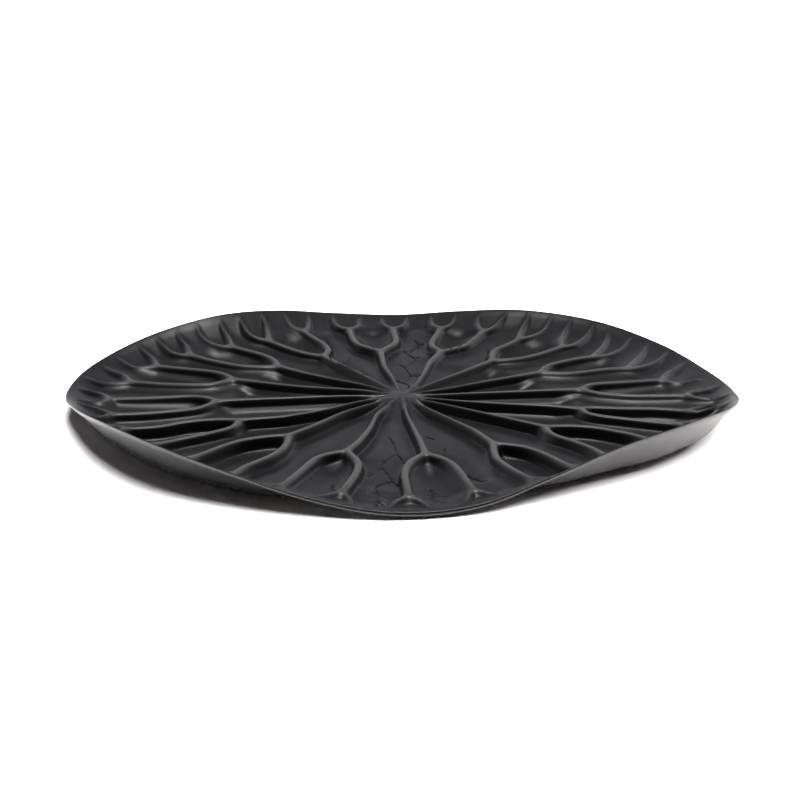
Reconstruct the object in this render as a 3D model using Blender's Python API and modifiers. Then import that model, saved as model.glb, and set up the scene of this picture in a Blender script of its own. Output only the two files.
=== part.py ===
"""A lotus-leaf drying tray in one wavy moulded sheet, with four soft feet seated under it.

The leaf is a thin plastic sheet. Sixteen raised veins leave a small hub in the middle and fork
into two arms each. The sheet sinks between the veins, and its edge rises and falls as it goes
round. Headings are degrees, anticlockwise from +X seen from above. The leaf's front is at -Y,
where its edge is lowest and water runs off. Lengths are metres.
"""

from math import atan2, cos, degrees, exp, hypot, pi, radians, sin

import bmesh
import bpy
from mathutils import Matrix, Vector

# The sheet and its edge
leaf_width = 0.455
wall = 0.0026
hub_height = 0.0125
lip_height = 0.0050
edge_growth = 5.0
# How much more sharply the front's two raised lobes turn up
lobe_growth = 8.0
# How strongly the edge rises above the lip at the front: 1 is as drawn
edge_wave = 1.0

# The tables of the edge and the veins are drawn for a leaf of this width
drawn_width = 0.455
scale = leaf_width / drawn_width
# Reach from the hub and height above the table of the leaf's edge, every 15 degrees from +X
edge_stations = [
    (0.2290, 0.0175), (0.2270, 0.0130), (0.2250, 0.0145), (0.2145, 0.0200),
    (0.1955, 0.0235), (0.1845, 0.0200), (0.1850, 0.0150), (0.1880, 0.0175),
    (0.1870, 0.0255), (0.1925, 0.0290), (0.2105, 0.0230), (0.2255, 0.0150),
    (0.2255, 0.0145), (0.2160, 0.0235), (0.2105, 0.0325), (0.2050, 0.0330),
    (0.1950, 0.0240), (0.1880, 0.0120), (0.1860, 0.0050), (0.1845, 0.0065),
    (0.1850, 0.0175), (0.1950, 0.0295), (0.2140, 0.0340), (0.2280, 0.0280),
]

# The veins: root heading, fork heading, fork reach,
# then for the arm on the clockwise side and the other: shoulder heading, end heading, end reach
veins = [
    (8, 7, 0.128, (0, -1, 0.195), (11, 10, 0.187)),
    (26, 27, 0.115, (22, 21, 0.176), (32, 31, 0.165)),
    (49, 48.5, 0.105, (42, 41, 0.163), (54, 53, 0.153)),
    (65, 72, 0.104, (65, 65, 0.155), (78, 77, 0.152)),
    (94, 97, 0.101, (90, 91, 0.154), (104, 103.5, 0.155)),
    (117, 121.5, 0.103, (115.5, 117.5, 0.154), (128, 130, 0.145)),
    (134, 143, 0.107, (138.5, 141, 0.156), (150, 151, 0.172)),
    (154, 162, 0.121, (158.5, 160.5, 0.183), (169.5, 171, 0.186)),
    (178, 184, 0.122, (180, 182.5, 0.192), (191, 192, 0.192)),
    (203, 204, 0.113, (200, 201, 0.186), (210, 211.5, 0.178)),
    (220, 227, 0.102, (220, 222.5, 0.171), (234.5, 235.5, 0.174)),
    (249, 253, 0.107, (246, 247, 0.175), (260, 258.5, 0.168)),
    (281, 280, 0.107, (272.5, 272.5, 0.166), (286, 286, 0.165)),
    (311, 305, 0.108, (298, 298, 0.173), (311, 308.5, 0.172)),
    (333, 329, 0.113, (323, 319, 0.171), (334.5, 332.5, 0.179)),
    (348.5, 349, 0.126, (344, 342.5, 0.194), (351, 350, 0.196)),
]
vein_half_width = 0.0020
vein_side_run = 0.0030
# The widest that half a vein may be, as a share of its distance from the hub
root_share = 0.105
tip_spread = 3.2

# Depths below the vein crests
side_channel_depth = 0.0070
end_channel_depth = 0.0028
side_pocket_depth = 0.0060
end_pocket_depth = 0.0042
tip_pocket_depth = 0.0020

# Rings of the sheet's mesh: shares of the way from hub to fork, fork to arm end, arm end to edge
hub_rings = [0.12, 0.32, 0.58, 0.82, 0.93, 1.00]
arm_rings = [0.07, 0.20, 0.42, 0.72, 1.00]
edge_rings = [0.30, 0.60, 0.82, 1.00]
# How much of its full depth the sheet has on those rings
hub_channel_shares = [0.00, 0.30, 0.70, 1.00, 0.92, 0.55]
arm_channel_shares = [0.50, 0.48, 0.45, 0.38, 0.28]
arm_pocket_shares = [0.55, 1.00, 0.90, 0.62, 0.25]
edge_shares = [0.16, 0.07, 0.02, 0.00]
tip_shares = [1.00, 0.60, 0.25, 0.00]

# The feet
foot_radius = 0.0080
foot_reach = 0.105 * scale
foot_headings = [38, 142, 218, 322]
seat_level = 0.0033
seat_depth = 0.0008
seat_wall = 0.0022
gap = 0.0003
foot_chamfer = 0.0006

lines_per_arm = 5
leaf_name = "leaf_tray"


def clear_scene():
    for item in list(bpy.data.objects):
        bpy.data.objects.remove(item, do_unlink=True)


def make_collection(name):
    collection = bpy.data.collections.new(name)
    bpy.context.scene.collection.children.link(collection)
    return collection


def make_material(name, colour, roughness):
    material = bpy.data.materials.new(name)
    material.use_nodes = True
    shader = material.node_tree.nodes["Principled BSDF"]
    shader.inputs["Base Color"].default_value = (*colour, 1.0)
    shader.inputs["Roughness"].default_value = roughness
    shader.inputs["Metallic"].default_value = 0.0
    return material


def add_object(name, mesh, collection, material=None):
    item = bpy.data.objects.new(name, mesh)
    collection.objects.link(item)
    if material:
        mesh.materials.append(material)
    return item


def cylinder_mesh(name, radius, bottom, top, heading, reach, segments=32):
    """A round post standing at a heading and reach from the hub."""
    place = Vector((reach * cos(radians(heading)), reach * sin(radians(heading)), (bottom + top) / 2))
    builder = bmesh.new()
    bmesh.ops.create_cone(builder, cap_ends=True, segments=segments, radius1=radius, radius2=radius,
                          depth=top - bottom, matrix=Matrix.Translation(place))
    mesh = bpy.data.meshes.new(name)
    builder.to_mesh(mesh)
    builder.free()
    return mesh


def blend(start, end, share):
    return start + (end - start) * share


def ease(share):
    """Zero to one with a soft start and a soft stop."""
    share = min(max(share, 0.0), 1.0)
    return share * share * (3.0 - 2.0 * share)


def edge_at(heading):
    """Reach and height of the leaf's edge, on a smooth curve through its stations."""
    count = len(edge_stations)
    place = (heading % 360.0) / 360.0 * count
    index = int(place)
    share = place - index
    values = []
    for axis in range(2):
        before, here, there, after = [edge_stations[(index + step) % count][axis] for step in (-1, 0, 1, 2)]
        slope = there - before
        bend = 2 * before - 5 * here + 4 * there - after
        twist = 3 * here - before - 3 * there + after
        values.append(here + 0.5 * share * (slope + bend * share + twist * share ** 2))
    reach, height = values
    return reach * scale, lip_height + (height - lip_height) * edge_wave


def sideways(heading):
    """One on the leaf's long axis, zero across it, where the sheet is shallower."""
    return abs(cos(radians(heading))) ** 1.5


def growth_at(heading):
    """How sharply the sheet turns up to its edge: gently at the back, hard at the front's raised lobes."""
    raised = ease((edge_at(heading)[1] - 0.010) / 0.014)
    in_front = ease(-sin(radians(heading)) / 0.35)
    return edge_growth + lobe_growth * raised * in_front


def crest_height(heading, reach):
    """Height of the vein crests: flat round the hub, climbing faster and faster to the edge."""
    edge_reach, edge_height = edge_at(heading)
    return blend(hub_height, edge_height, min(reach / edge_reach, 1.0) ** growth_at(heading))


def ring_count():
    return len(hub_rings) + len(arm_rings) + len(edge_rings)


def ring_place(vein, arm, ring, heading):
    """Reach of a ring near one arm, and how far along its stretch it is."""
    fork_reach = vein[2] * scale
    end_reach = vein[3 + arm][2] * scale
    if ring < len(hub_rings):
        share = hub_rings[ring]
        return fork_reach * share, share
    ring -= len(hub_rings)
    if ring < len(arm_rings):
        share = arm_rings[ring]
        return blend(fork_reach, end_reach, share), share
    share = edge_rings[ring - len(arm_rings)]
    return blend(end_reach, edge_at(heading)[0], share), share


def arm_heading(vein, arm, ring):
    """Heading of an arm's middle on a ring. Up to the fork it is the stem's."""
    root, fork = vein[0], vein[1]
    shoulder, end = vein[3 + arm][:2]
    if ring < len(hub_rings):
        return blend(root, fork, ease(hub_rings[ring] * 1.25 - 0.15))
    ring -= len(hub_rings)
    if ring < len(arm_rings):
        share = arm_rings[ring]
        opened = 1.0 - exp(-share / 0.09)
        return blend(blend(fork, shoulder, opened), end, ease((share - 0.25) / 0.75))
    return end


def tip_opening(ring):
    """How far an arm's two tips have parted: nothing up to the arm's end, then all the way."""
    ring -= len(hub_rings) + len(arm_rings)
    if ring < 0:
        return 0.0
    return ease(0.55 + 0.45 * edge_rings[ring])


def channel_share(ring):
    shares = hub_channel_shares + arm_channel_shares + edge_shares
    return shares[ring]


def pocket_share(ring):
    shares = [0.0] * len(hub_rings) + arm_pocket_shares + edge_shares
    return shares[ring]


def tip_share(ring):
    shares = [0.0] * (len(hub_rings) + len(arm_rings)) + tip_shares
    return shares[ring]


def arm_lines(index, arm, ring):
    """The five points that an arm's section has on a ring, as (heading, reach, depth)."""
    vein = veins[index]
    middle = arm_heading(vein, arm, ring)
    twin = arm_heading(vein, 1 - arm, ring)
    step = 1 if arm else -1
    neighbour = veins[(index + step) % len(veins)]
    beside = arm_heading(neighbour, 1 - arm, ring)
    outer_gap = ((beside - middle) * step) % 360.0
    inner_gap = abs(middle - twin)
    reach = ring_place(vein, arm, ring, middle)[0]
    per_metre = degrees(1.0 / reach)

    half = min(vein_half_width, root_share * reach) * per_metre
    run = vein_side_run * per_metre
    tips = tip_spread * tip_opening(ring)
    crest = half + tips
    outer_foot = min(crest + run, 0.44 * outer_gap)
    crest_out = min(crest, 0.8 * outer_foot)
    from_middle = inner_gap / 2
    crest_in = max(from_middle - crest, 0.60 * half)
    inner_foot = max(from_middle - crest - run, 0.20 * half)
    if crest_in < inner_foot * 1.3:
        inner_foot = crest_in / 1.3
    centre = from_middle + 0.5 * (crest_out - (from_middle - crest_in))
    if inner_gap < 0.01:
        centre = 0.80 * half

    pair_middle = (middle + twin) / 2
    offsets = [inner_foot, crest_in, centre, from_middle + crest_out, from_middle + outer_foot]
    side = sideways(pair_middle)
    channel = blend(end_channel_depth, side_channel_depth, sideways(middle + step * outer_gap / 2))
    pocket = blend(end_pocket_depth, side_pocket_depth, side)
    depths = [pocket * pocket_share(ring), 0.0, tip_pocket_depth * tip_share(ring), 0.0,
              channel * channel_share(ring)]
    points = []
    for offset, depth in zip(offsets, depths):
        heading = pair_middle + step * offset
        points.append((heading, ring_place(vein, arm, ring, heading)[0], depth))
    return points if arm else points[::-1]


def leaf_point(line, ring):
    """Where one corner of the sheet's top surface goes."""
    index, rest = divmod(line, 2 * lines_per_arm)
    arm, place = divmod(rest, lines_per_arm)
    heading, reach, depth = arm_lines(index, arm, ring)[place]
    height = crest_height(heading, reach) - depth
    return Vector((reach * cos(radians(heading)), reach * sin(radians(heading)), height))


def leaf_surface():
    """The sheet's top surface: a flat disc of rings and lines, draped over the leaf's shape."""
    line_count = len(veins) * 2 * lines_per_arm
    builder = bmesh.new()
    bmesh.ops.create_circle(builder, cap_ends=True, cap_tris=True, segments=line_count, radius=1.0)
    for ring in range(1, ring_count()):
        rim = [edge for edge in builder.edges if edge.is_boundary]
        grown = bmesh.ops.extrude_edge_only(builder, edges=rim)["geom"]
        fresh = [item for item in grown if isinstance(item, bmesh.types.BMVert)]
        bmesh.ops.scale(builder, vec=((ring + 1) / ring, (ring + 1) / ring, 1.0), verts=fresh)
    for vert in builder.verts:
        ring = round(hypot(vert.co.x, vert.co.y)) - 1
        if ring < 0:
            vert.co.z = hub_height
            continue
        line = round(atan2(vert.co.y, vert.co.x) / (2 * pi) * line_count) % line_count
        vert.co = leaf_point(line, ring)
    bmesh.ops.triangulate(builder, faces=builder.faces[:])
    bmesh.ops.recalc_face_normals(builder, faces=builder.faces[:])
    if sum(face.normal.z for face in builder.faces) < 0:
        bmesh.ops.reverse_faces(builder, faces=builder.faces[:])
    return builder


def sheet_mesh(name, lowered, thickness=None, floor=None):
    """The draped surface made solid, either to a wall's thickness or down to a flat floor."""
    builder = leaf_surface()
    bmesh.ops.translate(builder, vec=(0, 0, -lowered), verts=builder.verts[:])
    top = builder.faces[:]
    grown = bmesh.ops.extrude_face_region(builder, geom=top)["geom"]
    under = [item for item in grown if isinstance(item, bmesh.types.BMVert)]
    for vert in under:
        vert.co.z = floor if thickness is None else vert.co.z - thickness
    bmesh.ops.recalc_face_normals(builder, faces=builder.faces[:])
    mesh = bpy.data.meshes.new(name)
    builder.to_mesh(mesh)
    builder.free()
    return mesh


def add_boolean(item, cutter, operation):
    modifier = item.modifiers.new(cutter.name, "BOOLEAN")
    modifier.operation = operation
    modifier.solver = "EXACT"
    modifier.object = cutter


def join_meshes(name, meshes):
    builder = bmesh.new()
    for mesh in meshes:
        builder.from_mesh(mesh)
    joined = bpy.data.meshes.new(name)
    builder.to_mesh(joined)
    builder.free()
    return joined


def seat_posts(name, radius, bottom, top):
    return join_meshes(name, [cylinder_mesh(name, radius, bottom, top, heading, foot_reach)
                              for heading in foot_headings])


def build_leaf(collection, guides, material):
    """The fluted sheet with a round seat for each foot joined to its underside."""
    leaf = add_object(leaf_name, sheet_mesh(leaf_name, 0.0, thickness=wall), collection, material)
    outer_radius = foot_radius + gap + seat_wall
    seats = add_object("seat_rings", seat_posts("seat_rings", outer_radius, seat_level, 0.05), guides)
    under = add_object("under_space", sheet_mesh("under_space", wall / 2, floor=-0.02), guides)
    recess = add_object("seat_recesses", seat_posts("seat_recesses", foot_radius + gap,
                                                    seat_level - 0.01, seat_level + seat_depth), guides)
    add_boolean(seats, under, "INTERSECT")
    add_boolean(leaf, seats, "UNION")
    add_boolean(leaf, recess, "DIFFERENCE")
    for guide in (seats, under, recess):
        guide.hide_render = True
        guide.display_type = "WIRE"
    return leaf


def build_foot(number, heading, collection, material):
    """A soft round pad, flat on the table, with a chamfered rim."""
    name = f"foot_{number}"
    top = seat_level + seat_depth - gap
    mesh = cylinder_mesh(name, foot_radius, 0.0, top, heading, foot_reach)
    foot = add_object(name, mesh, collection, material)
    chamfer = foot.modifiers.new("rim", "BEVEL")
    chamfer.width = foot_chamfer
    chamfer.segments = 1
    chamfer.limit_method = "ANGLE"
    mesh.shade_smooth()
    mesh.set_sharp_from_angle(angle=radians(35))
    return foot


def centre_on_footprint(items):
    """Moves every mesh so that the origin is under the middle of the leaf's edge."""
    outline = [(edge_at(heading)[0], radians(heading)) for heading in range(360)]
    across = [reach * cos(turn) for reach, turn in outline]
    along = [reach * sin(turn) for reach, turn in outline]
    shift = Vector((-(max(across) + min(across)) / 2, -(max(along) + min(along)) / 2, 0.0))
    for item in items:
        item.data.transform(Matrix.Translation(shift))


def build():
    clear_scene()
    parts = make_collection("leaf_tray_parts")
    guides = make_collection("guides")
    plastic = make_material("black_plastic", (0.018, 0.018, 0.020), 0.34)
    soft = make_material("soft_pad", (0.035, 0.035, 0.037), 0.70)
    build_leaf(parts, guides, plastic)
    for number, heading in enumerate(foot_headings, start=1):
        build_foot(number, heading, parts, soft)
    centre_on_footprint(list(parts.objects) + list(guides.objects))


build()
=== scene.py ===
from math import atan2, cos, hypot, pi, radians, sin

import bmesh
import bpy
import numpy as np
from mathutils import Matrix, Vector


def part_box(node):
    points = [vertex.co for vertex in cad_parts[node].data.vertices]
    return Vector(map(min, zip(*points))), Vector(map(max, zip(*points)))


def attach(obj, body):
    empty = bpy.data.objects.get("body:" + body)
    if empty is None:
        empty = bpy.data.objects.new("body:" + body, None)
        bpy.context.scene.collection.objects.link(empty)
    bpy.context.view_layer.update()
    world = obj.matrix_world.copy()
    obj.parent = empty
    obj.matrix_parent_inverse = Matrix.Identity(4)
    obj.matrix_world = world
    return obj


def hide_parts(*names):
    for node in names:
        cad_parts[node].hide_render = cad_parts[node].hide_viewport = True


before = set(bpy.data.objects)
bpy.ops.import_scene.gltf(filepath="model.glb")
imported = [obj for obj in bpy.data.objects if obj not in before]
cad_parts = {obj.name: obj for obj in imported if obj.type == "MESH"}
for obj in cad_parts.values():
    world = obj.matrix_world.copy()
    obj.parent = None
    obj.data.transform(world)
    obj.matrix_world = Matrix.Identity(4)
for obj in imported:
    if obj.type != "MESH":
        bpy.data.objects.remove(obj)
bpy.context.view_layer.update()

leafLow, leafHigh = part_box("leaf_tray")
hubX = -0.0015
hubY = 0.0004

# The leaf. Lengths are millimetres, headings degrees anticlockwise from +X, measured at the hub
leaf = {
    "wall": 2.6,
    "underFill": 3.0,
    "lowestTop": 2.9,
    "clearance": 0.6,
    "limitBlend": 0.5,
    "hubHeight": 12.5,
    "edgeGrowth": 5.0,
    "lobeGrowth": 12.0,
    "linesPerArm": 20,
    "stemHalfWidth": 2.1,
    "armHalfWidth": 2.0,
    "tipHalfWidth": 0.8,
    "crestDome": 0.85,
    "shoulder": 0.5,
    "webbing": 1.1,
    "sideRun": 2.0,
    "sideBowlRun": 7.0,
    "endBowlRun": 12.0,
    "bowlSteepShare": 0.45,
    "cushionRise": 0.34,
    "cushionRun": 12.0,
    "hubReach": 4.0,
    "sidePocketDepth": 7.2,
    "endPocketDepth": 8.2,
    "tipPocketDepth": 2.2,
    "lobeChannelDepth": 5.6,
    "lobeWallDepth": 7.0,
    "rimBand": 2.0,
    "rimRun": 16.0,
    "backRimExtra": 9.0,
    "rimRound": 1.25,
}

# Reach and height above the table of the leaf's edge, every 15 degrees from +X
edgeStations = [
    (229.0, 17.5), (227.0, 13.0), (225.0, 14.5), (214.5, 20.0),
    (195.5, 23.5), (184.5, 20.0), (185.0, 15.0), (188.0, 17.5),
    (187.0, 25.5), (192.5, 29.0), (210.5, 23.0), (225.5, 15.0),
    (225.5, 14.5), (216.0, 23.5), (210.5, 32.5), (205.0, 33.0),
    (195.0, 24.0), (188.0, 12.0), (186.0, 5.0), (184.5, 6.5),
    (185.0, 17.5), (195.0, 29.5), (214.0, 34.0), (228.0, 28.0),
]

# Each vein: its stem from the hub to the fork, then the two arms with the tips that each ends in.
# Points are (heading, reach)
veins = [
    dict(stem=[(8, 30), (8, 48), (7.2, 103), (7, 128)],
         right=[(2.8, 137), (359.9, 159), (358.8, 197)],
         rightTips=[[(357.6, 199), (356.5, 205), (356, 212)], [(0.8, 200), (1, 212), (3.6, 221)]],
         left=[(11, 137), (10.6, 160), (10.5, 189)],
         leftTips=[[(8, 195), (7.5, 201), (9.4, 212)], [(12.5, 192), (14.3, 197), (17, 210), (19, 219)]]),
    dict(stem=[(25.8, 38), (27.4, 69), (27.2, 115)],
         right=[(23.6, 124), (21.6, 137), (21.5, 162), (20.4, 175)],
         rightTips=[[(19.5, 180), (20.5, 191), (22, 203), (23.8, 212), (26, 222)],
                    [(22, 181), (24.2, 189), (26.1, 197), (29, 209), (31.4, 220)]],
         left=[(30.5, 122), (32.2, 130), (32.1, 154), (31.2, 166)],
         leftTips=[[(30.1, 176), (30.8, 187), (32.4, 199), (34.2, 208), (35.4, 215)],
                   [(32.5, 172), (34.6, 183), (36.7, 193), (38.4, 201), (40.2, 211)]]),
    dict(stem=[(48.9, 40), (48.6, 105)],
         right=[(44.1, 115), (42.2, 124), (41.3, 137), (41.3, 163)],
         rightTips=[[(40, 170), (40.8, 180), (41.9, 191), (43.2, 201), (44.8, 211)],
                    [(43.5, 168), (45.7, 177), (47.2, 187), (48.3, 196), (49.6, 205)]],
         left=[(52.9, 115), (54.7, 123), (53.5, 143), (53.6, 154)],
         leftTips=[[(52.2, 159), (51.2, 169), (51.5, 180), (52.6, 191), (53.5, 199)],
                   [(55.4, 163), (56.9, 177), (57.4, 185), (58.6, 194)]]),
    dict(stem=[(62.9, 31), (69.9, 59), (72.8, 81), (71.7, 104)],
         right=[(65.1, 122), (65.2, 133), (64.8, 154)],
         rightTips=[[(63.7, 158), (63, 166), (63.2, 177), (63.1, 188)],
                    [(66.5, 157), (68.2, 165), (69, 173), (69.3, 180)]],
         left=[(77.3, 115), (78, 128), (77.4, 153)],
         leftTips=[[(75.5, 158), (74.7, 166), (75.2, 178)], [(80, 158), (81, 167), (81.5, 179)]]),
    dict(stem=[(93.3, 38), (97.7, 66), (96.8, 101)],
         right=[(93.5, 110), (90.8, 117), (90, 128), (91.2, 154)],
         rightTips=[[(89.2, 157), (87.7, 164), (87.3, 179)], [(92.8, 159), (93.9, 167), (93.9, 177)]],
         left=[(99.7, 108), (103.6, 116), (104.5, 129), (103.7, 155)],
         leftTips=[[(101.5, 157), (100.3, 163), (99.7, 177)], [(106.1, 159), (106.7, 170), (105.8, 184)]]),
    dict(stem=[(116.8, 51), (118.5, 65), (120.6, 83), (121.4, 103)],
         right=[(118.3, 107), (116, 114), (115.3, 125), (117.3, 154)],
         rightTips=[[(115.5, 157), (114, 166), (112.6, 178), (111.8, 185)],
                    [(119.5, 163), (119, 174), (117.9, 185)]],
         left=[(126.4, 114), (128.8, 132), (130.3, 147)],
         leftTips=[[(128.9, 152), (126.8, 163), (125, 174), (123.8, 183)],
                   [(132.5, 155), (132.5, 165), (131.4, 174), (130.1, 184)]]),
    dict(stem=[(132.1, 34), (139.5, 55), (142.4, 79), (142.8, 107)],
         right=[(139.7, 114), (138.4, 123), (138.7, 134), (140.9, 156)],
         rightTips=[[(139.7, 160), (137.9, 169), (136.7, 178), (135.2, 186)],
                    [(142.8, 161), (143.4, 170), (142.6, 181), (141.6, 188), (140.5, 193)]],
         left=[(145.7, 111), (150.4, 128), (151.3, 152), (151.3, 170)],
         leftTips=[[(150.1, 175), (148.1, 181), (147, 189), (145, 199)],
                   [(152.8, 178), (152.8, 183), (151.4, 193), (150.2, 201), (149.2, 207)]]),
    dict(stem=[(148.7, 27), (158.4, 45), (162.7, 73), (162.2, 121)],
         right=[(159.5, 127), (158.2, 135), (158.6, 149), (160.3, 182)],
         rightTips=[[(159.5, 184), (157.2, 190), (155.7, 199), (154.5, 207), (153.3, 213)],
                    [(161.7, 188), (163, 195), (161.6, 204), (160.3, 212), (159, 219)]],
         left=[(169, 131), (170.5, 148), (171.1, 168), (170.8, 188)],
         leftTips=[[(169.4, 191), (167.1, 197), (166.2, 206), (164.7, 216), (163.9, 220)],
                   [(172.3, 197), (172.8, 206), (171.5, 215), (170.4, 222)]]),
    dict(stem=[(178.3, 42), (182, 70), (183.1, 97), (184.2, 122)],
         right=[(180.6, 129), (179.6, 140), (181.8, 174), (182.4, 195)],
         rightTips=[[(180.4, 197), (178.7, 203), (177.6, 211), (176.6, 218)],
                    [(184.2, 196), (185.4, 201), (184.8, 208), (183.6, 215)]],
         left=[(187.4, 127), (190, 134), (191, 147), (191.6, 163), (192.2, 192)],
         leftTips=[[(190.6, 196), (189.2, 202), (188, 208), (186.4, 215)],
                   [(193.6, 197), (195, 204), (195, 211)]]),
    dict(stem=[(200.3, 27), (209.2, 54), (208.3, 85), (204, 113)],
         right=[(201.5, 123), (200, 136), (200, 150), (201.2, 164), (200.8, 186)],
         rightTips=[[(199.6, 191), (198.4, 198), (198, 206)], [(202, 191), (203.2, 198), (203.6, 206)]],
         left=[(207.2, 117), (209.6, 122), (210.2, 132), (210.7, 145), (210.8, 161), (211.6, 177)],
         leftTips=[[(210.8, 184), (210.2, 194), (210, 203)], [(212.6, 184), (213.6, 194), (214, 202)]]),
    dict(stem=[(221, 47), (226.6, 79), (227, 102)],
         right=[(224, 109), (221.5, 119), (220.2, 130), (220.5, 143), (222.4, 171)],
         rightTips=[[(221.8, 178), (221.2, 188), (221, 200)], [(223.6, 178), (224.4, 188), (224.6, 199)]],
         left=[(231.2, 110), (234, 122), (235, 134), (234.4, 161), (235.6, 174)],
         leftTips=[[(235, 180), (234.4, 187), (234.2, 194)], [(236.6, 180), (237.6, 187), (238, 192)]]),
    dict(stem=[(248.3, 35), (254.3, 63), (254.4, 89), (253, 107)],
         right=[(248.9, 114), (246.3, 124), (246.6, 139), (247.4, 178)],
         rightTips=[[(245.1, 185), (244.6, 188)], [(249, 185), (249.6, 188)]],
         left=[(257.3, 116), (259.5, 124), (260, 139), (259.5, 154), (258.9, 168)],
         leftTips=[[(255.8, 179), (255, 184)], [(261.1, 174), (261.6, 182)]]),
    dict(stem=[(281, 38), (280.3, 87), (279.8, 107)],
         right=[(275.2, 115), (273, 124), (272, 137), (272.6, 165)],
         rightTips=[[(269.8, 172), (268.3, 181)], [(275.2, 171), (276.6, 180)]],
         left=[(283.9, 115), (285.9, 124), (286.3, 137), (286.1, 165)],
         leftTips=[[(284.5, 171), (283.3, 178)], [(287.9, 170), (290, 178)]]),
    dict(stem=[(311.6, 32), (308.7, 59), (307.8, 83), (304.8, 108)],
         right=[(301.2, 118), (298.2, 132), (297.8, 148), (297.8, 173)],
         rightTips=[[(297, 177), (296.4, 181)], [(299.4, 178), (300.4, 183)]],
         left=[(307.2, 114), (310, 122), (311, 134), (310.4, 151), (308.6, 172)],
         leftTips=[[(307.4, 178), (307, 186)], [(309.8, 178), (310.6, 187)]]),
    dict(stem=[(334.8, 32), (331, 61), (329.6, 91), (328.8, 113)],
         right=[(325.2, 119), (323.4, 127), (323, 140), (321.6, 158), (319.2, 171)],
         rightTips=[[(318.4, 178), (318, 190)], [(320.6, 178), (321.6, 194)]],
         left=[(331.6, 121), (334, 131), (335, 143), (334.6, 156), (334.2, 168), (332.6, 179)],
         leftTips=[[(331.8, 186), (331.4, 204)], [(333.8, 186), (334.8, 206)]]),
    dict(stem=[(348.4, 38), (348.7, 70), (349.8, 102), (349, 126)],
         right=[(346.6, 127), (344.6, 133), (343.8, 144), (343.7, 157), (343.3, 172), (342.8, 190)],
         rightTips=[[(341.6, 197), (341, 206), (340.8, 216)], [(344, 197), (345, 206), (345.6, 216)]],
         left=[(350.7, 131), (350.6, 143), (351, 159), (351.4, 176), (350, 196)],
         leftTips=[[(348.7, 201), (349.3, 206), (350.5, 213)], [(350.9, 199), (351.6, 205), (352.4, 212)]]),
]

# The channel on the anticlockwise side of each vein: depth near the hub, reach of its rounded end,
# length of the slope at that end, depth beyond it, reach over which it opens from the hub,
# and 1 where its floor is a bowl or 0 where it swells up like a cushion
channels = [
    (7.6, 101, 15, 3.8, 28, 1.0), (7.2, 95, 15, 3.8, 28, 0.9), (6.2, 84, 18, 4.2, 38, 0.6),
    (5.0, 150, 9, 4.2, 45, 0.0), (5.2, 150, 9, 4.2, 42, 0.1), (6.4, 88, 18, 4.2, 38, 0.6),
    (7.2, 105, 15, 3.8, 28, 0.9), (7.6, 110, 14, 3.8, 28, 1.0), (7.6, 118, 14, 4.2, 28, 1.0),
    (7.2, 123, 18, 4.8, 28, 0.9), (6.2, 150, 12, 5.4, 35, 0.4), (5.6, 150, 9, 5.0, 35, 0.0),
    (5.8, 150, 9, 5.0, 35, 0.2), (7.0, 118, 20, 5.2, 32, 0.8), (7.6, 118, 14, 4.8, 28, 1.0),
    (7.6, 118, 14, 4.2, 28, 1.0),
]

# Fine cracks in the shallow fields between the veins, as (x, y) from the hub
cracks = {
    "halfWidth": 0.8,
    "depth": 1.0,
    "reachOfFineMesh": 1.2,
    "lines": [
        [(-1, 48), (5, 40), (9, 32), (8, 22)],
        [(6, 42), (10, 56), (16, 58), (18, 62)],
        [(10, 56), (6, 71), (2, 80)],
        [(6, 71), (13, 87), (13, 93), (9, 100), (5, 113)],
        [(13, 93), (18, 98)],
        [(10, 108), (17, 124), (13, 136)],
        [(17, 124), (21, 131)],
        [(-34, 94), (-37, 81), (-35, 64)],
        [(-48, 89), (-37, 81)],
        [(-43, 71), (-34, 60), (-28, 54), (-24, 52), (-21, 59)],
        [(-24, 52), (-23, 46)],
        [(-54, 136), (-47, 109), (-49, 84), (-47, 76)],
        [(-28, 132), (-19, 111), (-17, 106)],
        [(-18, 131), (-19, 112)],
        [(31, 48), (32, 39)],
        [(54, 64), (54, 74)],
        [(56, 70), (61, 74), (64, 80), (67, 97), (68, 112)],
        [(39, 118), (40, 101)],
        [(49, 120), (45, 101)],
        [(-5, -69), (-2, -78), (0, -94), (0, -98), (6, -111)],
        [(0, -98), (-8, -112), (-9, -120), (-17, -130)],
        [(-9, -120), (-2, -137), (3, -145)],
        [(-2, -137), (-12, -148), (-12, -154), (-17, -155)],
        [(-12, -154), (-9, -167), (-4, -170)],
        [(-9, -167), (-14, -177)],
        [(-39, -145), (-39, -154), (-45, -167), (-48, -173)],
        [(-39, -154), (-35, -162)],
        [(19, -145), (23, -153), (29, -157)],
        [(23, -153), (20, -165), (28, -170)],
        [(19, -65), (24, -70)],
        [(31, -84), (30, -103), (29, -109), (36, -120), (45, -132), (53, -141)],
        [(45, -148), (58, -160)],
    ],
}

# Where the crests are painted lighter, a painted highlight standing in for the light they catch, in
# millimetres and shares
paintedHighlight = {
    "shoulder": 0.9,
    "run": 1.4,
    "tipLoss": 0.60,
    "hubShare": 0.35,
    "hubReach": 26.0,
}

feet = {
    "nodes": ["foot_1", "foot_2", "foot_3", "foot_4"],
    "grooveRadius": 0.0048,
    "grooveDepth": 0.0006,
    "rimRound": 0.0009,
    "seatWall": 0.0022,
    "gap": 0.0003,
    "seatLevel": 0.0033,
    "seatRound": 0.0005,
}


def ease(share):
    share = np.clip(share, 0.0, 1.0)
    return share * share * (3.0 - 2.0 * share)


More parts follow.
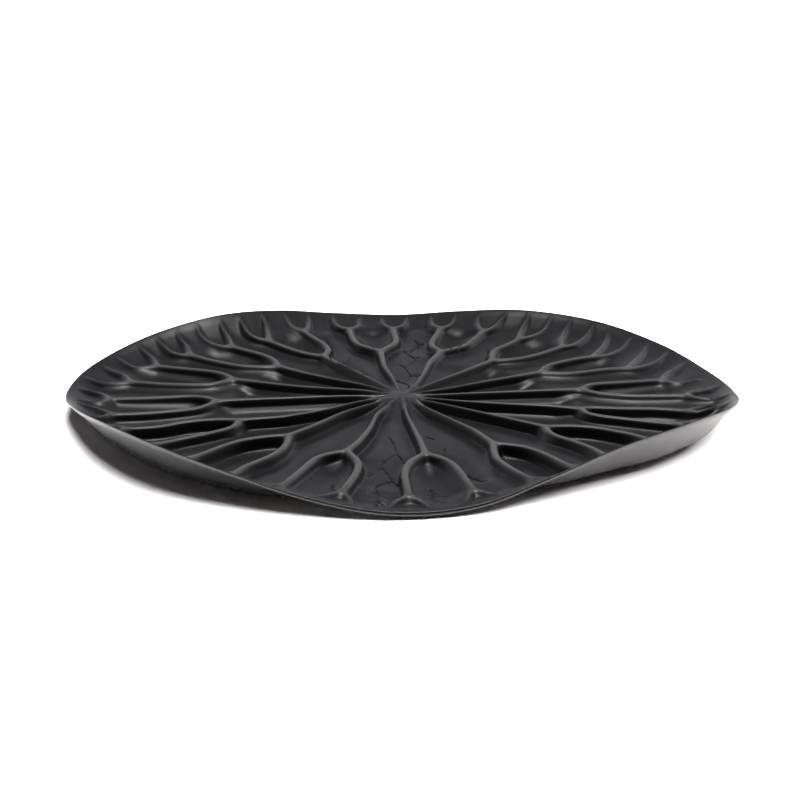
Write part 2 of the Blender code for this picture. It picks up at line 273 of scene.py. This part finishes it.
def edgeAt(headings):
    stations = np.array(edgeStations)
    count = len(stations)
    place = (headings % 360.0) / 360.0 * count
    index = np.floor(place).astype(int)
    share = (place - index)[..., None]
    before, here, there, after = [stations[(index + step) % count] for step in (-1, 0, 1, 2)]
    bend = 2 * before - 5 * here + 4 * there - after
    twist = 3 * here - before - 3 * there + after
    values = here + 0.5 * share * (there - before + bend * share + twist * share ** 2)
    return values[..., 0], values[..., 1]


def sideways(headings):
    return np.abs(np.cos(np.radians(headings))) ** 1.5


def placesOf(polar):
    return [(reach * cos(radians(heading)), reach * sin(radians(heading))) for heading, reach in polar]


def easedLine(points, spacing=2.0, passes=8):
    points = np.array(points, float)
    lengths = np.hypot(*np.diff(points, axis=0).T)
    along = np.concatenate([[0.0], np.cumsum(lengths)])
    steps = max(int(along[-1] / spacing), 3)
    spots = np.linspace(0.0, along[-1], steps + 1)
    line = np.column_stack([np.interp(spots, along, points[:, axis]) for axis in range(2)])
    for _ in range(passes):
        line[1:-1] = 0.5 * line[1:-1] + 0.25 * (line[:-2] + line[2:])
    return line


def hubEnd(place):
    middle = Vector((3.0, 3.0))
    outward = (Vector(place) - middle).normalized()
    return tuple(middle + outward * 3.0)


def veinLines(vein):
    stem = placesOf(vein["stem"])
    lines = [(easedLine([hubEnd(stem[0])] + stem), 0.5, leaf["stemHalfWidth"])]
    for side in ("right", "left"):
        arm = placesOf(vein[side])
        lines.append((easedLine([stem[-1]] + arm), leaf["stemHalfWidth"], leaf["armHalfWidth"]))
        for tip in vein[side + "Tips"]:
            lines.append((easedLine([arm[-1]] + placesOf(tip), passes=3), leaf["armHalfWidth"],
                          leaf["tipHalfWidth"]))
    return lines


def pathOf(vein, side, tip):
    stem = placesOf(vein["stem"])
    places = [hubEnd(stem[0])] + stem + placesOf(vein[side]) + placesOf(vein[side + "Tips"][tip])
    line = easedLine(places)
    reaches = np.maximum.accumulate(np.hypot(line[:, 0], line[:, 1]))
    headings = np.degrees(np.unwrap(np.arctan2(line[:, 1], line[:, 0])))
    middle = vein["stem"][-1][0]
    headings += 360.0 * round((middle - headings[len(headings) // 2]) / 360.0)
    return reaches, headings


def segmentTable(lines):
    rows = []
    for line, first, last in lines:
        widths = np.linspace(first, last, len(line))
        runs = np.diff(line, axis=0)
        rows.append(np.column_stack([line[:-1], runs, (runs ** 2).sum(axis=1), widths[:-1], np.diff(widths)]))
    return np.vstack(rows)


def gapToLines(x, y, table, webbing):
    found = np.empty(len(x))
    startX, startY, runX, runY, squared, width, growth = table.T
    for first in range(0, len(x), 4000):
        part = slice(first, first + 4000)
        fromX = x[part, None] - startX
        fromY = y[part, None] - startY
        share = np.clip((fromX * runX + fromY * runY) / squared, 0.0, 1.0)
        gap = np.hypot(fromX - share * runX, fromY - share * runY) - width - share * growth
        nearest = gap.min(axis=1)
        if webbing:
            crowd = np.exp((nearest[:, None] - gap) / webbing).sum(axis=1)
            nearest = nearest - webbing * np.log(np.maximum(crowd / 2.5, 1.0))
        found[part] = nearest
    return found


veinTable = segmentTable([line for vein in veins for line in veinLines(vein)])
crackTable = segmentTable([(easedLine(line, spacing=1.5, passes=2), 0.0, 0.0) for line in cracks["lines"]])
paths = [pathOf(vein, side, tip) for vein in veins for side, tip in
         (("right", 0), ("right", 1), ("left", 0), ("left", 1))]


def pathHeadings(reach):
    return np.stack([np.interp(reach, reaches, headings) for reaches, headings in paths], axis=-1)


def lobeShare(heading, edgeHeight):
    # one on the two raised lobes at the front, where the sheet turns up steeply
    return ease((edgeHeight - 10.0) / 14.0) * ease(-np.sin(np.radians(heading)) / 0.35)


def zoneDepth(heading, reach, edgeReach):
    crossed = pathHeadings(reach)
    turned = np.where(heading > 355.0, heading - 360.0, heading)
    count = (crossed <= turned[:, None]).sum(axis=1)
    vein = ((count - 1) // 4) % len(veins)
    kind = (count - 1) % 4
    rows = np.arange(len(reach))
    lower = crossed[rows, (count - 1) % len(paths)]
    upper = crossed[rows, count % len(paths)]
    width = (upper - lower) % 360.0
    aside = ((turned - lower) % 360.0) / np.maximum(width, 1e-6) * 2.0 - 1.0
    halfGap = np.radians(width) * reach / 2.0

    table = np.array(channels)[vein]
    opened = ease((reach - leaf["hubReach"]) / table[:, 4])
    endReach = table[:, 1] - 0.30 * halfGap * aside ** 2
    before = ease((endReach + table[:, 2] / 2.0 - reach) / table[:, 2])
    beyond = table[:, 3] + (leaf["lobeChannelDepth"] - table[:, 3]) * lobeShare(heading, edgeAt(heading)[1])
    channel = opened * (beyond + (table[:, 0] - beyond) * before)

    forks = np.array([item["stem"][-1][1] for item in veins], float)[vein]
    armEnds = np.array([(item["right"][-1][1] + item["left"][-1][1]) / 2 for item in veins])[vein]
    side = sideways(np.array([item["stem"][-1][0] for item in veins]))[vein]
    deepest = leaf["endPocketDepth"] + (leaf["sidePocketDepth"] - leaf["endPocketDepth"]) * side
    along = np.clip((reach - forks) / (armEnds - forks), 0.0, 1.0)
    inLobe = lobeShare(heading, edgeAt(heading)[1])
    closing = 1.0 - 0.55 * (1.0 - inLobe) * ease((reach - armEnds + 6.0) / 13.0)
    pocket = (deepest + inLobe) * (1.0 - 0.40 * (1.0 - inLobe) * along) * closing
    tipPocket = leaf["tipPocketDepth"] * np.ones(len(reach))
    depth = np.choose(kind, [tipPocket, pocket, tipPocket, channel])
    bowl = np.choose(kind, [0.0 * depth, 1.0 + 0.0 * depth, 0.0 * depth, table[:, 5]]) * (1.0 - 0.6 * inLobe)
    rimRun = leaf["rimRun"] + leaf["backRimExtra"] * ease(np.sin(np.radians(heading)) / 0.4)
    return depth * ease((edgeReach - reach - leaf["rimBand"]) / rimRun), bowl


def heldAbove(height, level):
    # a soft lower limit, which leaves heights well above it as they are
    above = height - level
    return level + 0.5 * (above + np.sqrt(above ** 2 + leaf["limitBlend"] ** 2))


def leafHeights(x, y, onTop=True):
    reach = np.hypot(x, y)
    heading = np.degrees(np.arctan2(y, x)) % 360.0
    edgeReach, edgeHeight = edgeAt(heading)
    share = np.clip(reach / edgeReach, 0.0, 1.0)
    growth = leaf["edgeGrowth"] + leaf["lobeGrowth"] * lobeShare(heading, edgeHeight)
    crest = leaf["hubHeight"] + (edgeHeight - leaf["hubHeight"]) * share ** growth
    gap = gapToLines(x, y, veinTable, leaf["webbing"])
    if not onTop:
        gap = gap + leaf["underFill"]
    depth, bowl = zoneDepth(heading, reach, edgeReach)
    steep = ease((gap + leaf["shoulder"]) / (leaf["sideRun"] + leaf["shoulder"]))
    bowlRun = leaf["endBowlRun"] + (leaf["sideBowlRun"] - leaf["endBowlRun"]) * sideways(heading)
    bowlSide = leaf["bowlSteepShare"] * steep + (1.0 - leaf["bowlSteepShare"]) * ease(gap / bowlRun)
    cushionSide = steep * (1.0 - leaf["cushionRise"] * ease((gap - 1.5) / leaf["cushionRun"]))
    dome = leaf["crestDome"] * np.clip(1.0 + gap / leaf["armHalfWidth"], 0.0, 1.0) ** 2
    dome *= ease((edgeReach - reach - 1.0) / 9.0)
    fall = depth * (bowl * bowlSide + (1.0 - bowl) * cushionSide)
    if not onTop:
        plain = leaf["lobeWallDepth"] * ease((edgeReach - reach - leaf["rimBand"]) / leaf["rimRun"])
        fall += (plain - fall) * 0.92 * lobeShare(heading, edgeHeight) * ease((share - 0.60) / 0.14)
    height = crest - dome - fall
    height = heldAbove(height, leaf["lowestTop"])
    if not onTop:
        return heldAbove(height - leaf["wall"], leaf["clearance"])
    # the crack share cuts the grooves and also marks their painted shade
    crack = 1.0 - ease(gapToLines(x, y, crackTable, 0.0) / cracks["halfWidth"])
    # painted highlight: a lighter colour on the crests, weaker towards the tips and near the hub
    crestHighlight = (1.0 - ease((gap + paintedHighlight["shoulder"]) / paintedHighlight["run"])) * ease((edgeReach - reach - 2.0) / 9.0)
    crestHighlight *= 1.0 - paintedHighlight["tipLoss"] * ease((share - 0.80) / 0.14)
    crestHighlight *= paintedHighlight["hubShare"] + (1.0 - paintedHighlight["hubShare"]) * ease(reach / paintedHighlight["hubReach"])
    return height - cracks["depth"] * crack, crestHighlight, crack


def ringShares():
    near = np.linspace(0.02, 0.40, 16)
    middle = np.linspace(0.40, 0.66, 30)[1:]
    far = np.linspace(0.66, 0.97, 36)[1:]
    rim = np.linspace(0.97, 1.0, 5)[1:]
    return np.concatenate([near, middle, far, rim])


def ringHeadings(share):
    ends = np.array([path[1][-1] for path in paths])
    reaches = share * edgeAt(ends)[0]
    crossed = np.array([np.interp(reach, *path) for reach, path in zip(reaches, paths)])
    result = []
    for arm in range(len(paths) // 2):
        first, last = crossed[2 * arm], crossed[2 * arm + 1]
        before = crossed[2 * arm - 1] - (360.0 if arm == 0 else 0.0)
        after = crossed[(2 * arm + 2) % len(paths)] + (360.0 if 2 * arm + 2 == len(paths) else 0.0)
        low, high = (before + first) / 2.0, (last + after) / 2.0
        spots = np.linspace(low, high, 160)
        scale = np.radians(1.0) * reaches[2 * arm]
        near = np.minimum(np.abs(spots - first), np.abs(spots - last)) * scale
        crowding = 1.0 + 4.0 * np.exp(-((near - 2.8) / 2.2) ** 2)
        filled = np.concatenate([[0.0], np.cumsum((crowding[1:] + crowding[:-1]) / 2)])
        wanted = np.arange(leaf["linesPerArm"]) / leaf["linesPerArm"] * filled[-1]
        result.append(np.interp(wanted, filled, spots))
    return np.concatenate(result)


def relaxed(grid):
    for _ in range(3):
        grid[1:-1] = 0.5 * grid[1:-1] + 0.25 * (grid[:-2] + grid[2:])
    return grid


def layOut():
    # a round of flat rings whose corners are then moved to their headings and reaches
    shares = ringShares()
    headings = relaxed(np.stack([ringHeadings(share) for share in shares]))
    reaches = shares[:, None] * edgeAt(headings)[0]
    lineCount = headings.shape[1]
    builder = bmesh.new()
    ringOf = builder.verts.layers.int.new("ring")
    bmesh.ops.create_circle(builder, cap_ends=True, cap_tris=True, segments=lineCount, radius=1.0)
    rim = [edge for edge in builder.edges if edge.is_boundary]
    for ring in range(1, len(shares)):
        grown = bmesh.ops.extrude_edge_only(builder, edges=rim)["geom"]
        fresh = [item for item in grown if isinstance(item, bmesh.types.BMVert)]
        rim = [item for item in grown if isinstance(item, bmesh.types.BMEdge) and item.is_boundary]
        bmesh.ops.scale(builder, vec=((ring + 1) / ring, (ring + 1) / ring, 1.0), verts=fresh)
    for vert in builder.verts:
        ring = round(hypot(vert.co.x, vert.co.y)) - 1
        vert[ringOf] = ring
        if ring < 0:
            continue
        line = round(atan2(vert.co.y, vert.co.x) / (2 * pi) * lineCount) % lineCount
        turn = radians(headings[ring, line])
        vert.co = (reaches[ring, line] * cos(turn), reaches[ring, line] * sin(turn), 0.0)
    return builder, ringOf, len(shares) - 1


def setUnderside(verts):
    x = np.array([vert.co.x for vert in verts])
    y = np.array([vert.co.y for vert in verts])
    for vert, height in zip(verts, leafHeights(x, y, False)):
        vert.co.z = height


def setTop(verts, crestHighlightLayer, crackShadeLayer):
    # the painted highlight on the crests and the painted shade in the cracks are also kept as attributes, for
    # the colour
    x = np.array([vert.co.x for vert in verts])
    y = np.array([vert.co.y for vert in verts])
    for vert, height, crestHighlight, crack in zip(verts, *leafHeights(x, y)):
        vert.co.z = height
        vert[crestHighlightLayer] = crestHighlight
        vert[crackShadeLayer] = crack


def vertsOf(faces):
    return list({vert: None for face in faces for vert in face.verts})


def thinOut(builder, under, ringOf, lastRing):
    # the underside needs only every second ring
    found = {}
    for face in under:
        for edge in face.edges:
            first, last = [vert[ringOf] for vert in edge.verts]
            if first == last and first % 2 == 1 and first < lastRing:
                found[edge] = None
    bmesh.ops.dissolve_edges(builder, edges=list(found), use_verts=True, use_face_split=False)


def refineByCracks(builder, top):
    centres = np.array([face.calc_center_median().xy for face in top])
    gap = gapToLines(centres[:, 0], centres[:, 1], crackTable, 0.0)
    near = [face for face, distance in zip(top, gap) if distance < cracks["reachOfFineMesh"]]
    edges = list({edge: None for face in near for edge in face.edges})
    bmesh.ops.subdivide_edges(builder, edges=edges, cuts=3, use_grid_fill=True)


def buildLeaf(material):
    builder, ringOf, lastRing = layOut()
    # attribute for the painted highlight on the crests
    crestHighlightLayer = builder.verts.layers.float.new("crestHighlight")
    # attribute for the painted shade in the cracks
    crackShadeLayer = builder.verts.layers.float.new("crackShade")
    under = set(builder.faces)
    # the first faces become the underside, and the ones grown from them the top
    grown = bmesh.ops.extrude_face_region(builder, geom=list(under))["geom"]
    top = [item for item in grown if isinstance(item, bmesh.types.BMFace)]
    print("leaf sheet laid out:", len(top), "faces a side")
    setUnderside(vertsOf(under))
    for vert in vertsOf(top):
        vert.co.z = 50.0
    refineByCracks(builder, top)
    thinOut(builder, under, ringOf, lastRing)
    topVerts = [vert for vert in builder.verts if vert.co.z > 49.0]
    setTop(topVerts, crestHighlightLayer, crackShadeLayer)
    print("leaf shaped")
    bmesh.ops.recalc_face_normals(builder, faces=builder.faces[:])
    rim = [edge for edge in builder.edges
           if len(edge.link_faces) == 2 and edge.calc_face_angle(0.0) > radians(40)
           and min(reachShare(vert) for vert in edge.verts) > 0.9995]
    bmesh.ops.bevel(builder, geom=rim, offset=leaf["rimRound"], segments=3, profile=0.5,
                    affect="EDGES", material=-1)
    low, high = leafLow, leafHigh
    xs = [vert.co.x for vert in builder.verts]
    ys = [vert.co.y for vert in builder.verts]
    grow = ((high.x - low.x) / (max(xs) - min(xs)), (high.y - low.y) / (max(ys) - min(ys)))
    bmesh.ops.scale(builder, vec=(grow[0], grow[1], 0.001), verts=builder.verts[:])
    shift = (low.x - min(xs) * grow[0], low.y - min(ys) * grow[1], 0.0)
    bmesh.ops.translate(builder, vec=shift, verts=builder.verts[:])
    for face in builder.faces:
        face.smooth = True
    return finishPiece("leaf", builder, material)


def reachShare(vert):
    heading = np.degrees(atan2(vert.co.y, vert.co.x)) % 360.0
    return hypot(vert.co.x, vert.co.y) / float(edgeAt(np.array([heading]))[0][0])


def finishPiece(name, builder, material):
    mesh = bpy.data.meshes.new(name)
    builder.to_mesh(mesh)
    builder.free()
    mesh.materials.append(material)
    piece = bpy.data.objects.new(name, mesh)
    bpy.context.scene.collection.objects.link(piece)
    print(name, "made:", len(mesh.polygons), "faces,", len(mesh.loops) - 2 * len(mesh.polygons), "triangles")
    return piece


def blendByAttribute(nodes, links, colourSocket, otherColour, attributeName):
    share = nodes.new("ShaderNodeAttribute")
    share.attribute_name = attributeName
    blend = nodes.new("ShaderNodeMix")
    blend.data_type = "RGBA"
    blend.inputs["B"].default_value = (*otherColour, 1.0)
    links.new(share.outputs["Fac"], blend.inputs["Factor"])
    links.new(colourSocket, blend.inputs["A"])
    return blend.outputs["Result"]


def makeMaterial(name, finish):
    material = bpy.data.materials.new(name)
    material.use_nodes = True
    nodes, links = material.node_tree.nodes, material.node_tree.links
    shader = nodes["Principled BSDF"]
    shader.inputs["IOR"].default_value = finish["ior"]
    place = nodes.new("ShaderNodeTexCoord")

    tone = nodes.new("ShaderNodeTexNoise")
    tone.inputs["Scale"].default_value = finish["toneScale"]
    tone.inputs["Detail"].default_value = 4.0
    links.new(place.outputs["Object"], tone.inputs["Vector"])
    colour = nodes.new("ShaderNodeValToRGB")
    colour.color_ramp.elements[0].position = 0.3
    colour.color_ramp.elements[0].color = (*finish["darkColour"], 1.0)
    colour.color_ramp.elements[1].position = 0.7
    colour.color_ramp.elements[1].color = (*finish["lightColour"], 1.0)
    links.new(tone.outputs["Fac"], colour.inputs["Fac"])
    colourSocket = colour.outputs["Color"]
    if "crestHighlightColour" in finish:
        # painted highlight on the crests, blended into the base colour
        colourSocket = blendByAttribute(nodes, links, colourSocket, finish["crestHighlightColour"], "crestHighlight")
        # painted shade in the cracks, blended into the base colour
        colourSocket = blendByAttribute(nodes, links, colourSocket, finish["crackShadeColour"], "crackShade")
    links.new(colourSocket, shader.inputs["Base Color"])

    gloss = nodes.new("ShaderNodeTexNoise")
    gloss.inputs["Scale"].default_value = finish["glossScale"]
    gloss.inputs["Detail"].default_value = 5.0
    links.new(place.outputs["Object"], gloss.inputs["Vector"])
    spread = nodes.new("ShaderNodeMapRange")
    spread.inputs["From Min"].default_value = 0.3
    spread.inputs["From Max"].default_value = 0.7
    spread.inputs["To Min"].default_value = finish["roughness"][0]
    spread.inputs["To Max"].default_value = finish["roughness"][1]
    links.new(gloss.outputs["Fac"], spread.inputs["Value"])
    links.new(spread.outputs["Result"], shader.inputs["Roughness"])

    grain = nodes.new("ShaderNodeTexNoise")
    grain.inputs["Scale"].default_value = finish["grainScale"]
    grain.inputs["Detail"].default_value = 3.0
    links.new(place.outputs["Object"], grain.inputs["Vector"])
    bump = nodes.new("ShaderNodeBump")
    bump.inputs["Strength"].default_value = finish["grainStrength"]
    bump.inputs["Distance"].default_value = finish["grainHeight"]
    links.new(grain.outputs["Fac"], bump.inputs["Height"])
    links.new(bump.outputs["Normal"], shader.inputs["Normal"])
    return material


plasticFinish = {
    "darkColour": (0.0024, 0.0022, 0.0028),
    "lightColour": (0.0050, 0.0047, 0.0055),
    # painted highlight colour of the crests
    "crestHighlightColour": (0.0320, 0.0296, 0.0306),
    # painted shade colour of the cracks
    "crackShadeColour": (0.0010, 0.0010, 0.0010),
    "toneScale": 18.0,
    "glossScale": 60.0,
    "roughness": (0.38, 0.44),
    "ior": 1.5,
    "grainScale": 1400.0,
    "grainStrength": 0.25,
    "grainHeight": 0.0002,
}
padFinish = {
    "darkColour": (0.030, 0.030, 0.032),
    "lightColour": (0.044, 0.044, 0.046),
    "toneScale": 90.0,
    "glossScale": 200.0,
    "roughness": (0.68, 0.82),
    "ior": 1.45,
    "grainScale": 2600.0,
    "grainStrength": 0.4,
    "grainHeight": 0.0002,
}


def spunProfile(points, middle):
    # a round piece turned from its half section, open or closed, about an upright axis
    builder = bmesh.new()
    verts = [builder.verts.new((middle.x + radius, middle.y, height)) for radius, height in points]
    edges = [builder.edges.new(pair) for pair in zip(verts, verts[1:])]
    bmesh.ops.spin(builder, geom=verts + edges, cent=(middle.x, middle.y, 0.0), axis=(0, 0, 1),
                   angle=2 * pi, steps=64, use_merge=True, use_duplicate=False)
    bmesh.ops.remove_doubles(builder, verts=builder.verts[:], dist=0.00001)
    bmesh.ops.recalc_face_normals(builder, faces=builder.faces[:])
    for face in builder.faces:
        face.smooth = True
    return builder


def buildFoot(node, material):
    low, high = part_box(node)
    middle = (low + high) / 2.0
    radius = (high.x - low.x) / 2.0
    edge = feet["rimRound"]
    groove = feet["grooveRadius"]
    deep = feet["grooveDepth"]
    points = [(0.0, low.z), (groove - 0.0009, low.z), (groove - 0.0005, low.z + deep),
              (groove + 0.0005, low.z + deep), (groove + 0.0009, low.z), (radius - edge, low.z),
              (radius - 0.29 * edge, low.z + 0.29 * edge), (radius, low.z + edge),
              (radius, high.z - edge), (radius - 0.29 * edge, high.z - 0.29 * edge),
              (radius - edge, high.z), (0.0, high.z)]
    foot = finishPiece(node + "_pad", spunProfile(points, middle), material)
    foot.data.set_sharp_from_angle(angle=radians(50))
    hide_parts(node)
    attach(foot, "root")
    return foot


def buildSeat(node, number, material):
    # a round boss under the sheet that holds the foot, its upper end buried in the wall
    low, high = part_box(node)
    middle = (low + high) / 2.0
    inner = (high.x - low.x) / 2.0 + feet["gap"]
    outer = inner + feet["seatWall"]
    rounding = feet["seatRound"]
    level = feet["seatLevel"]
    roof = high.z + feet["gap"]
    points = [(0.0, roof), (inner - rounding, roof), (inner, roof - 0.0003), (inner, level + 0.0004),
              (inner + 0.0004, level), (outer - rounding, level), (outer, level + rounding),
              (outer, 0.0300), (0.0, 0.0300)]
    builder = spunProfile(points, middle)
    tops = [vert for vert in builder.verts if vert.co.z > 0.0290]
    x = np.array([(vert.co.x - hubX) * 1000.0 for vert in tops])
    y = np.array([(vert.co.y - hubY) * 1000.0 for vert in tops])
    for vert, height in zip(tops, leafHeights(x, y, False)):
        vert.co.z = (height + leaf["wall"] / 2.0) / 1000.0
    seat = finishPiece("foot_seat_%d" % number, builder, material)
    seat.data.set_sharp_from_angle(angle=radians(50))
    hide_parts("leaf_tray")
    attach(seat, "root")
    return seat


plastic = makeMaterial("satinBlackPlastic", plasticFinish)
softPad = makeMaterial("mattSoftPad", padFinish)
tray = buildLeaf(plastic)
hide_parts("leaf_tray")
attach(tray, "root")
for number, node in enumerate(feet["nodes"], start=1):
    buildFoot(node, softPad)
    buildSeat(node, number, plastic)
print("leaf, feet and seats in place")

studio = {
    "floorSize": 24.0,
    "floorColour": (0.92, 0.895, 0.885),
    "skyTint": (0.96, 0.95, 1.0),
    "skyLevels": [(-0.02, 0.48), (0.10, 0.52), (0.35, 0.62), (0.48, 0.06), (0.75, 0.02), (1.0, 0.02)],
    "skyFade": (-0.25, 0.25),
    "nearSide": 0.05,
    "softboxes": [
        ("rightBackBox", (1.5, 1.3, 0.9), 0.8, 2.0),
        ("smallTopBox", (0.05, 0.30, 1.5), 0.22, 11.0),
    ],
    "floorSun": dict(turn=(-6.0, 21.0), angle=68.0, power=15.0),
    "leafSun": dict(turn=(-40.0, 8.0), angle=26.0, power=13.0),
    "aim": (0.0, 0.0, 0.02),
    "cameraPlace": (0.0009, -1.1318, 0.4102),
    "cameraTilt": 70.5,
    "lens": 79.2,
}


def addFloor():
    builder = bmesh.new()
    bmesh.ops.create_grid(builder, x_segments=8, y_segments=8, size=studio["floorSize"] / 2.0)
    mesh = bpy.data.meshes.new("floor")
    builder.to_mesh(mesh)
    builder.free()
    floor = bpy.data.objects.new("floor", mesh)
    material = bpy.data.materials.new("paleFloor")
    material.use_nodes = True
    shader = material.node_tree.nodes["Principled BSDF"]
    shader.inputs["Base Color"].default_value = (*studio["floorColour"], 1.0)
    shader.inputs["Roughness"].default_value = 0.9
    mesh.materials.append(material)
    bpy.context.scene.collection.objects.link(floor)
    return floor


def addWorld():
    world = bpy.data.worlds.new("studio")
    world.use_nodes = True
    nodes, links = world.node_tree.nodes, world.node_tree.links
    background = nodes["Background"]
    place = nodes.new("ShaderNodeTexCoord")
    split = nodes.new("ShaderNodeSeparateXYZ")
    ramp = nodes.new("ShaderNodeValToRGB")
    for height, level in studio["skyLevels"][1:-1]:
        ramp.color_ramp.elements.new(0.5 + height / 2.0)
    for element, (height, level) in zip(ramp.color_ramp.elements, studio["skyLevels"]):
        element.position = 0.5 + height / 2.0
        element.color = tuple(level * part for part in studio["skyTint"]) + (1.0,)
    rise = nodes.new("ShaderNodeMapRange")
    rise.inputs["From Min"].default_value = -1.0
    links.new(place.outputs["Generated"], split.inputs["Vector"])
    links.new(split.outputs["Z"], rise.inputs["Value"])
    links.new(rise.outputs["Result"], ramp.inputs["Fac"])
    links.new(ramp.outputs["Color"], background.inputs["Color"])
    # the room is darker on the near side, behind the camera
    fade = nodes.new("ShaderNodeMapRange")
    fade.inputs["From Min"].default_value = studio["skyFade"][0]
    fade.inputs["From Max"].default_value = studio["skyFade"][1]
    fade.inputs["To Min"].default_value = studio["nearSide"]
    links.new(split.outputs["Y"], fade.inputs["Value"])
    links.new(fade.outputs["Result"], background.inputs["Strength"])
    bpy.context.scene.world = world


def addLight(name, place, size, power):
    data = bpy.data.lights.new(name, "AREA")
    data.shape = "SQUARE"
    data.size = size
    data.energy = power
    light = bpy.data.objects.new(name, data)
    light.location = place
    aim = Vector(studio["aim"]) - Vector(place)
    light.rotation_euler = aim.to_track_quat("-Z", "Y").to_euler()
    bpy.context.scene.collection.objects.link(light)


def addSun(name, lit):
    # each one lights only the objects it is given, and stays out of the gloss
    data = bpy.data.lights.new(name, "SUN")
    data.energy = studio[name]["power"]
    data.angle = radians(studio[name]["angle"])
    sun = bpy.data.objects.new(name, data)
    turn = studio[name]["turn"]
    sun.rotation_euler = (radians(turn[0]), radians(turn[1]), 0.0)
    sun.visible_glossy = False
    receivers = bpy.data.collections.new(name + "Receivers")
    for item in lit:
        receivers.objects.link(item)
    sun.light_linking.receiver_collection = receivers
    bpy.context.scene.collection.objects.link(sun)


def addCamera():
    data = bpy.data.cameras.new("camera")
    data.lens = studio["lens"]
    data.sensor_width = 36.0
    camera = bpy.data.objects.new("camera", data)
    camera.location = studio["cameraPlace"]
    camera.rotation_euler = (radians(studio["cameraTilt"]), 0.0, 0.0)
    bpy.context.scene.collection.objects.link(camera)
    bpy.context.scene.camera = camera


floor = addFloor()
addWorld()
for softbox in studio["softboxes"]:
    addLight(*softbox)
addSun("floorSun", [floor])
addSun("leafSun", [tray])
addCamera()
bpy.context.scene.view_settings.view_transform = "Standard"
print("studio in place")
